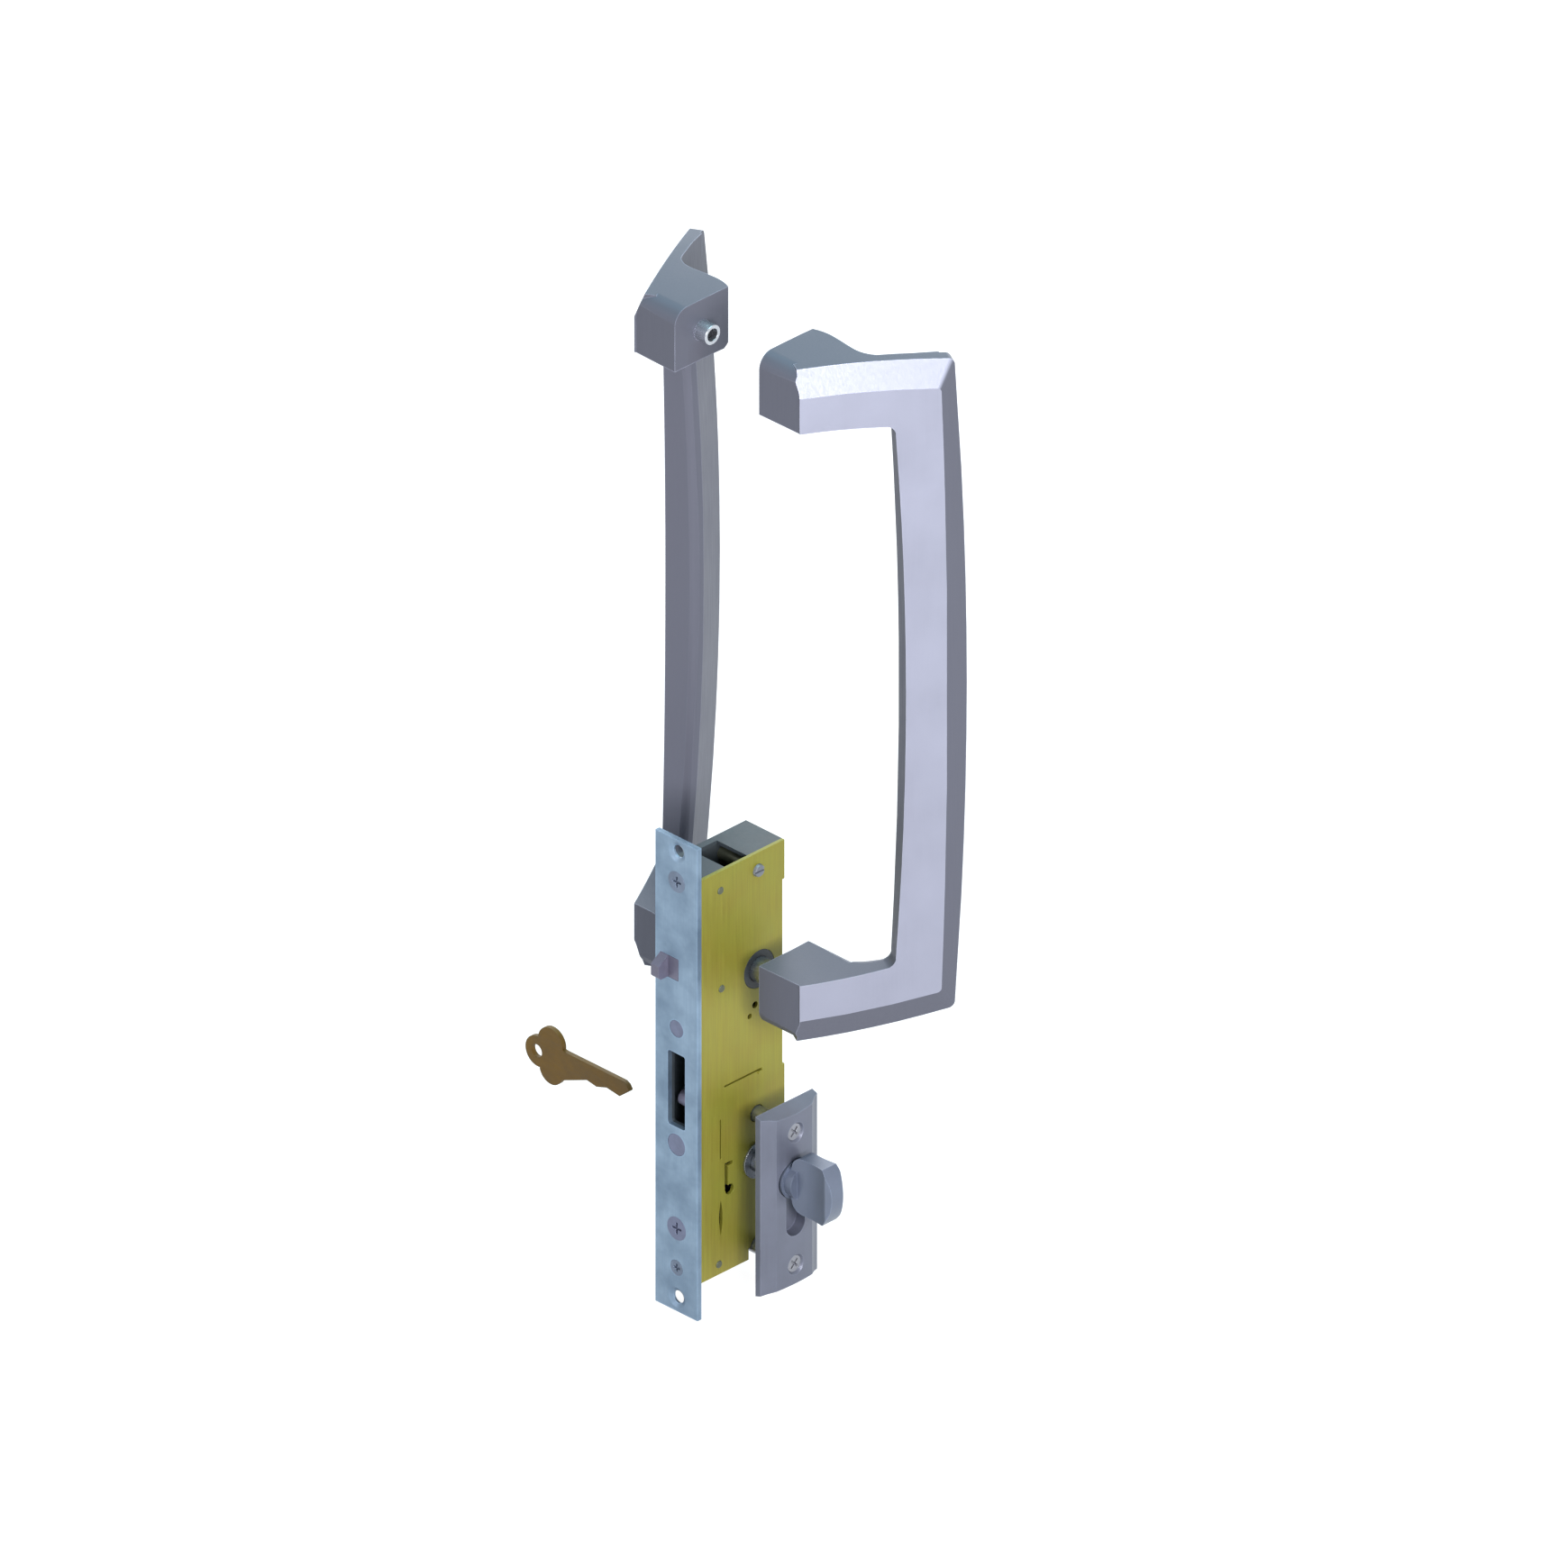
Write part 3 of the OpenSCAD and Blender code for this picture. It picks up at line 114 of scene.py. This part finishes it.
class Nodes:
    """Builds the node tree of one material or world."""

    def __init__(self, owner, output="ShaderNodeOutputMaterial"):
        owner.use_nodes = True
        self.owner = owner
        self.tree = owner.node_tree
        self.tree.nodes.clear()
        self.output = self.add(output)

    def add(self, kind, **values):
        """A new node. Names of inputs are given with underscores for blanks."""
        node = self.tree.nodes.new(kind)
        for key, value in values.items():
            label = key.replace("_", " ")
            if label in node.inputs:
                self.plug(value, node.inputs[label])
            else:
                setattr(node, key, value)
        return node

    def plug(self, value, socket):
        """Links a socket, or sets the value."""
        if isinstance(value, bpy.types.NodeSocket):
            self.tree.links.new(value, socket)
        else:
            socket.default_value = value

    def end(self, shader):
        """Links the last shader to the output and returns the material or world."""
        self.plug(shader.outputs[0], self.output.inputs["Surface"])
        return self.owner

    def coords(self, kind):
        """Object coordinates or the object's own normal."""
        return self.add("ShaderNodeTexCoord").outputs[kind]

    def noise(self, scale, detail, seed=0.0):
        """Noise with a scale along each axis, in cycles per metre."""
        mapping = self.add("ShaderNodeMapping", Vector=self.coords("Object"), Scale=scale,
                           Location=(seed, seed * 0.7, seed * 0.3))
        texture = self.add("ShaderNodeTexNoise", Vector=mapping.outputs["Vector"], Scale=1.0,
                           Detail=detail, Roughness=0.55)
        return texture.outputs["Fac"]

    def spread(self, value, low, high, out_low=0.0, out_high=1.0):
        """Maps a value's range to another one, clamped."""
        return self.add("ShaderNodeMapRange", Value=value, From_Min=low, From_Max=high,
                        To_Min=out_low, To_Max=out_high).outputs["Result"]

    def pair(self, kind, operation, a, b):
        """A node that works on two inputs."""
        node = self.add(kind, operation=operation)
        self.plug(a, node.inputs[0])
        self.plug(b, node.inputs[1])
        return node

    def math(self, operation, a, b):
        """Two numbers put together."""
        return self.pair("ShaderNodeMath", operation, a, b).outputs[0]

    def dot(self, a, b):
        """Dot product of two vectors."""
        return self.pair("ShaderNodeVectorMath", "DOT_PRODUCT", a, b).outputs["Value"]

    def mix(self, factor, a, b):
        """Mix of two colours, whose sockets come after those for numbers and vectors."""
        node = self.add("ShaderNodeMix", data_type="RGBA")
        for socket, value in ((0, factor), (6, a), (7, b)):
            self.plug(value, node.inputs[socket])
        return node.outputs[2]

    def edges(self, radius):
        """1 on edges that stand out or go in within the radius, 0 on flat faces."""
        rounded = self.add("ShaderNodeBevel", Radius=radius, samples=4).outputs["Normal"]
        flat = self.add("ShaderNodeNewGeometry").outputs["Normal"]
        return self.spread(self.dot(rounded, flat), 1.0, EDGE_TURN)

    def facing(self, direction):
        """1 on faces that look along the direction in the object's own frame, 0 on all others."""
        return self.spread(self.dot(self.coords("Normal"), direction), FACING_LOW, FACING_HIGH)

    def bump(self, height, strength):
        """Normal of a height from 0 to 1 that stands for BUMP_DEPTH."""
        return self.add("ShaderNodeBump", Height=height, Strength=strength,
                        Distance=BUMP_DEPTH).outputs["Normal"]

    def background_rays(self):
        """1 for the rays that see the white surroundings, 0 for the light that falls on the object."""
        path = self.add("ShaderNodeLightPath").outputs
        seen = self.math("MAXIMUM", path["Is Camera Ray"], path["Is Glossy Ray"])
        return self.math("MAXIMUM", seen, path["Is Transmission Ray"])


def rgb(red, green, blue):
    """A colour given as it shows on screen, 0 to 255, as linear values."""
    linear = []
    for value in (red, green, blue):
        share = value / 255
        linear.append(share / 12.92 if share <= 0.04045 else ((share + 0.055) / 1.055) ** 2.4)
    return (*linear, 1.0)


def shade(colour, factor):
    """The colour made lighter or darker."""
    return (*[min(1.0, c * factor) for c in colour[:3]], 1.0)


# Scale of a grain that runs along one axis, in cycles per metre, across and along
GRAIN_ACROSS = 1500
GRAIN_ALONG = 45
GRAIN = {
    "x": (GRAIN_ALONG, GRAIN_ACROSS, GRAIN_ACROSS),
    "z": (GRAIN_ACROSS, GRAIN_ACROSS, GRAIN_ALONG),
    "none": (GRAIN_ACROSS / 2,) * 3,
}
# Scale of the finest grit and of a moulded skin and its clouds, in cycles per metre
GRIT = (2600,) * 3
SKIN = (1800,) * 3
SKIN_CLOUDS = (90,) * 3
BUMP_DEPTH = 0.05 * MM
# How much of the streaks' colour and of the edges' wear and painted highlight shows, and how dark the grit
# is
STREAK_SHARE = 0.35
WEAR_AND_HIGHLIGHT_SHARE = 0.55
GRIT_SHADE = 0.45
# Changes of roughness from the clouds and on worn edges
CLOUD_ROUGH = 0.16
WORN_SMOOTH = 0.08
# Specular level, and that of the faces painted in shade where a finish has fronts painted lit
GLOSS = 0.5
DARK_GLOSS = 0.12


def metal(name, colour, metallic=0.8, roughness=0.38, grain="none", grain_depth=0.1, cloud=0.12,
          cloud_scale=60, tint=None, wear_and_highlight=1.25, wear_and_highlight_radius=0.5 * MM, speckle=0.0, face=None, rest=0.5):
    """Satin, plated or cast metal: grain, clouds of tint, edges lit partly as wear and partly as a painted
    highlight, and fine roughness.

    Where face gives directions, what faces one of them is painted lit and all the rest is painted in shade,
    at rest times the colour.
    """
    n = Nodes(bpy.data.materials.new(name))
    streaks = n.noise(GRAIN[grain], detail=2.0)
    clouds = n.noise((cloud_scale,) * 3, detail=4.0, seed=3.1)
    grit = n.noise(GRIT, detail=1.0, seed=7.7)
    low = shade(colour, 1 - cloud)
    high = shade(tint or colour, 1 + cloud)
    base = n.mix(n.spread(clouds, 0.35, 0.65), low, high)
    streak_share = n.spread(streaks, 0.3, 0.7, 0.0, STREAK_SHARE)
    base = n.mix(streak_share, base, shade(colour, 1 + 1.4 * cloud))
    if speckle:
        base = n.mix(n.spread(grit, 0.62, 0.8, 0.0, speckle), base, shade(colour, GRIT_SHADE))
    gloss = GLOSS
    # Painted light: faces along the face directions keep the lit colour, all others get a painted shade at
    # rest times the colour and a lower specular level
    if face:
        bright = n.math("MAXIMUM", n.facing(face[0]), n.facing(face[1]))
        base = n.mix(bright, shade(colour, rest), base)
        gloss = n.spread(bright, 0.0, 1.0, DARK_GLOSS, GLOSS)
    # Edge colour: partly worn metal and partly a painted highlight where the factor is above 1; below 1, as
    # on the key, edges and creases get darker
    worn_and_highlit = n.math("MULTIPLY", n.edges(wear_and_highlight_radius), n.spread(clouds, 0.3, 0.6, 0.35, 1.0))
    base = n.mix(n.math("MULTIPLY", worn_and_highlit, WEAR_AND_HIGHLIGHT_SHARE), base, shade(colour, wear_and_highlight))
    rough = n.spread(streaks, 0.25, 0.75, roughness - 0.06, roughness + 0.07)
    rough = n.math("ADD", rough, n.math("MULTIPLY", n.math("SUBTRACT", clouds, 0.5), CLOUD_ROUGH))
    rough = n.math("SUBTRACT", rough, n.math("MULTIPLY", worn_and_highlit, WORN_SMOOTH))
    height = n.math("ADD", n.math("MULTIPLY", streaks, 0.7), n.math("MULTIPLY", grit, 0.3))
    return n.end(n.add("ShaderNodeBsdfPrincipled", Base_Color=base, Roughness=rough, Metallic=metallic,
                       Specular_IOR_Level=gloss, Normal=n.bump(height, grain_depth)))


def plastic(name, colour, roughness=0.5):
    """Moulded plastic with a fine spark-eroded skin."""
    n = Nodes(bpy.data.materials.new(name))
    skin = n.noise(SKIN, detail=2.0)
    clouds = n.noise(SKIN_CLOUDS, detail=3.0, seed=2.0)
    base = n.mix(n.spread(clouds, 0.3, 0.7), shade(colour, 0.8), shade(colour, 1.3))
    rough = n.spread(skin, 0.3, 0.7, roughness - 0.08, roughness + 0.08)
    return n.end(n.add("ShaderNodeBsdfPrincipled", Base_Color=base, Roughness=rough,
                       Normal=n.bump(skin, 0.2)))


# Angles of the front and of its upper bevel, which both handles have; faces that look along them are painted
# lit
HANDLE_LEAN = math.radians(28.6)
BEVEL_TILT = math.radians(21.6)


def fronts(side):
    """The two directions of one handle whose faces are painted lit, side 1 in the room and side -1 outdoors.
    """
    front = Vector((side * math.cos(HANDLE_LEAN), -math.sin(HANDLE_LEAN), 0))
    bevel = front * math.cos(BEVEL_TILT) + Vector((0, 0, 1)) * math.sin(BEVEL_TILT)
    return front, bevel


# rest is how dark the painted shade is on the handle faces that look away from the fronts
HANDLE_PAINT = dict(colour=rgb(146, 148, 165), grain="z", roughness=0.46, metallic=0.35, cloud=0.05,
                    cloud_scale=30, wear_and_highlight=1.8, wear_and_highlight_radius=0.6 * MM, rest=0.46)
# Edge factors well above 1, as on the handles, escutcheons, thumbturn and faceplate, paint highlights along
# the edges as well as wear
METALS = {
    "plate_steel": dict(colour=rgb(112, 133, 155), tint=rgb(132, 152, 172), grain="z", metallic=0.7,
                        cloud=0.1, cloud_scale=70, wear_and_highlight=2.0, wear_and_highlight_radius=1.1 * MM),
    "zinc_steel": dict(colour=rgb(70, 78, 84), roughness=0.48, metallic=0.3, cloud=0.14, speckle=0.15),
    "yellow_zinc": dict(colour=rgb(146, 143, 52), tint=rgb(126, 116, 42), grain="z", roughness=0.42,
                        metallic=0.25, cloud=0.16, cloud_scale=45, wear_and_highlight=1.15),
    "bright_screw": dict(colour=rgb(190, 193, 200), roughness=0.26, metallic=0.85, cloud=0.1),
    "plate_screw": dict(colour=rgb(108, 120, 140), roughness=0.44, metallic=0.45, cloud=0.14,
                        cloud_scale=220, speckle=0.15),
    "plate_rivet": dict(colour=rgb(108, 114, 138), roughness=0.46, metallic=0.45, cloud=0.14,
                        cloud_scale=220, speckle=0.2),
    "post_zinc": dict(colour=rgb(96, 100, 84), roughness=0.44, metallic=0.45, cloud=0.14),
    "cover_screw": dict(colour=rgb(120, 124, 132), roughness=0.42, metallic=0.5, cloud=0.14),
    "scut_screw": dict(colour=rgb(140, 142, 150), roughness=0.42, metallic=0.5, cloud=0.1),
    "spring_steel": dict(colour=rgb(150, 155, 162), roughness=0.3, metallic=0.9),
    "bronze": dict(colour=rgb(140, 136, 156), roughness=0.5, metallic=0.4, speckle=0.2),
    "sleeve_zinc": dict(colour=rgb(150, 154, 162), roughness=0.3, cloud=0.14),
    # Each handle's front and upper bevel are painted lit and its other faces painted in shade
    "handle_paint": dict(HANDLE_PAINT, face=fronts(1)),
    "outdoor_paint": dict(HANDLE_PAINT, face=fronts(-1)),
    "escutcheon_paint": dict(colour=rgb(103, 107, 122), grain="z", roughness=0.42, metallic=0.3,
                             cloud=0.08, wear_and_highlight=1.9, wear_and_highlight_radius=0.9 * MM),
    "thumbturn_satin": dict(colour=rgb(106, 114, 132), grain="z", roughness=0.36, metallic=0.4,
                            cloud=0.07, wear_and_highlight=1.9, wear_and_highlight_radius=0.8 * MM),
    "trigger_cast": dict(colour=rgb(106, 104, 122), roughness=0.44, metallic=0.3, speckle=0.2),
    "cylinder_nickel": dict(colour=rgb(150, 152, 158), grain="x", roughness=0.32),
    "plug_brass": dict(colour=rgb(176, 158, 96), grain="x", roughness=0.3, metallic=0.85),
    "key_brass": dict(colour=rgb(100, 72, 6), grain="x", roughness=0.55, metallic=0.15, cloud=0.2,
                      cloud_scale=150, wear_and_highlight=0.45, wear_and_highlight_radius=0.7 * MM, speckle=0.25),
}
FINISHES = {name: metal(name, **values) for name, values in METALS.items()}
FINISHES["dark_plastic"] = plastic("dark_plastic", rgb(58, 62, 66))
# Nodes whose finish differs from the rest of their slot
OWN_FINISH = {"faceplate_screws": "plate_screw", "faceplate_rivets": "plate_rivet",
              "cylinder_screw": "plate_rivet", "cover_screw": "cover_screw",
              "escutcheon_screws": "scut_screw", "case_posts": "post_zinc",
              "outside_handle": "outdoor_paint"}

# Radius of the rounded edges, in millimetres, and where it isn't the usual one
EDGE = 0.2
EDGES = {
    "inside_handle": 0.5, "outside_handle": 0.5, "escutcheon": 1.1, "outside_escutcheon": 1.1,
    "thumbturn": 0.8, "key": 0.25, "faceplate": 0.25, "case_cover": 0.15, "case_tray": 0.3,
    "hook_bolt": 0.4, "trigger": 0.4,
}
EDGE_SEGMENTS = 3
SMOOTH_BELOW = math.radians(33)
# Castings whose low bevels are crisp
CRISP = ("inside_handle", "outside_handle", "escutcheon", "outside_escutcheon", "thumbturn")
CRISP_ABOVE = math.radians(12.5)
FLAT_BELOW = math.radians(0.6)
WELD_WITHIN = 0.001 * MM


def round_edges(node):
    """Joins the faces of one plane, rounds the sharp edges and smooths what is curved."""
    modifiers = frame["nodes"][node].modifiers
    weld = modifiers.new("weld", "WELD")
    weld.merge_threshold = WELD_WITHIN
    planes = modifiers.new("planes", "DECIMATE")
    planes.decimate_type = "DISSOLVE"
    planes.angle_limit = FLAT_BELOW
    bevel = modifiers.new("bevel", "BEVEL")
    bevel.width = EDGES.get(node, EDGE) * MM
    bevel.segments = EDGE_SEGMENTS
    bevel.limit_method = "ANGLE"
    bevel.angle_limit = CRISP_ABOVE if node in CRISP else SMOOTH_BELOW
    bevel.harden_normals = False
    bevel.use_clamp_overlap = True
    normals = modifiers.new("normals", "WEIGHTED_NORMAL")
    normals.keep_sharp = True


def smooth(mesh):
    """Shades all faces of a mesh smooth."""
    for face in mesh.polygons:
        face.use_smooth = True


def finish_node(node, slot_name):
    """Gives a CAD node its finish."""
    piece = frame["nodes"][node]
    piece.data.materials.clear()
    piece.data.materials.append(FINISHES[OWN_FINISH.get(node, slot_name)])
    smooth(piece.data)
    round_edges(node)


# Coil of the trigger's return spring: wire radius, room round it, turns, steps along the coil and sides
# round the wire
WIRE_R = 0.38 * MM
COIL_GAP = 0.05 * MM
COIL_TURNS = 5
COIL_STEPS = COIL_TURNS * 28
WIRE_SIDES = 10


def make_trigger_coil():
    """The trigger's coil spring in place of its plain sleeve."""
    low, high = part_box("trigger_spring")
    middle = (low + high) / 2
    coil_r = (high.x - low.x) / 2 - WIRE_R - COIL_GAP
    start, end = low.y + WIRE_R, high.y - WIRE_R
    points, faces = [], []
    for i in range(COIL_STEPS + 1):
        turn = math.tau * COIL_TURNS * i / COIL_STEPS
        out = Vector((math.cos(turn), 0, math.sin(turn)))
        # The first and the last half turn lie flat
        share = min(1.0, max(0.0, (i / COIL_STEPS * COIL_TURNS - 0.5) / (COIL_TURNS - 1)))
        core = Vector((middle.x, start + (end - start) * share, middle.z)) + out * coil_r
        for k in range(WIRE_SIDES):
            angle = math.tau * k / WIRE_SIDES
            points.append(core + out * WIRE_R * math.cos(angle) + Vector((0, WIRE_R * math.sin(angle), 0)))
    for i in range(COIL_STEPS):
        for k in range(WIRE_SIDES):
            a, b = i * WIRE_SIDES + k, i * WIRE_SIDES + (k + 1) % WIRE_SIDES
            faces.append((a, b, b + WIRE_SIDES, a + WIRE_SIDES))
    faces.append(tuple(range(WIRE_SIDES)))
    faces.append(tuple(reversed(range(COIL_STEPS * WIRE_SIDES, (COIL_STEPS + 1) * WIRE_SIDES))))
    mesh = bpy.data.meshes.new("trigger_coil")
    mesh.from_pydata([tuple(point) for point in points], [], faces)
    smooth(mesh)
    mesh.materials.append(FINISHES["spring_steel"])
    coil = add_object("trigger_coil", mesh)
    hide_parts("trigger_spring")
    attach(coil, "root")
    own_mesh(coil)


# Level of the world's light on the object
WORLD_LEVEL = 0.2
FLOOR_HALF = 6.0
FLOOR_GAP = 0.2 * MM
FLOOR_GREY = (0.3, 0.3, 0.3, 1.0)
FLOOR_ROUGH = 0.9
# White that the floor adds for the camera, so that only the shadow shows: FLOOR_LIFT within
# LIFT_NEAR metres of the origin, growing to full white at LIFT_FAR
FLOOR_LIFT = 0.86
LIFT_NEAR = 0.15
LIFT_FAR = 0.7


def make_floor():
    """Pale floor just under the object."""
    corners = [(-1, -1), (1, -1), (1, 1), (-1, 1)]
    mesh = bpy.data.meshes.new("floor")
    mesh.from_pydata([(x * FLOOR_HALF, y * FLOOR_HALF, cad_low.z - FLOOR_GAP) for x, y in corners],
                     [], [(0, 1, 2, 3)])
    n = Nodes(bpy.data.materials.new("floor"))
    paint = n.add("ShaderNodeBsdfPrincipled", Base_Color=FLOOR_GREY, Roughness=FLOOR_ROUGH)
    away = n.add("ShaderNodeVectorMath", operation="LENGTH")
    n.plug(n.coords("Object"), away.inputs[0])
    lift = n.spread(away.outputs["Value"], LIFT_NEAR, LIFT_FAR, FLOOR_LIFT, 1.0)
    white = n.add("ShaderNodeEmission", Color=WHITE, Strength=n.math("MULTIPLY", n.background_rays(), lift))
    both = n.add("ShaderNodeAddShader")
    n.plug(paint.outputs[0], both.inputs[0])
    n.plug(white.outputs[0], both.inputs[1])
    mesh.materials.append(n.end(both))
    add_object("floor", mesh)


def make_world():
    """White surroundings that light the object at a low level."""
    world = bpy.data.worlds.new("studio")
    bpy.context.scene.world = world
    n = Nodes(world, "ShaderNodeOutputWorld")
    strength = n.spread(n.background_rays(), 0.0, 1.0, WORLD_LEVEL, 1.0)
    n.end(n.add("ShaderNodeBackground", Color=WHITE, Strength=strength))


# Lamps: name, direction from the object, size in metres, power in watts, colour
LAMPS = [
    ("key", (0.8, -0.42, 0.26), 0.5, 15, (1.0, 0.98, 1.0)),
    ("glint", (0.92, -0.23, 0.22), 0.25, 4, (1.0, 1.0, 1.0)),
    ("top", (0.0, 0.1, 1.0), 1.0, 15, (0.5, 0.92, 1.0)),
    ("fill", (-0.3, -1.0, 0.35), 1.0, 3, (0.94, 0.95, 1.0)),
    ("back", (-0.6, 0.9, 0.25), 1.0, 7, (1.0, 1.0, 1.0)),
]
LAMP_DISTANCE = 1.3


def make_lamps():
    """Soft area lamps that point at the middle of the object."""
    for name, direction, size, power, colour in LAMPS:
        data = bpy.data.lights.new(name, "AREA")
        data.size = size
        data.energy = power
        data.color = colour
        aim(add_object(name, data), (cad_low + cad_high) / 2, Vector(direction).normalized(), LAMP_DISTANCE)


make_camera()
for part in frame["record"]["subparts"]:
    finish_node(part["node"], part["material_slot"])
make_trigger_coil()
make_floor()
make_world()
make_lamps()
bpy.context.scene.view_settings.view_transform = "Standard"
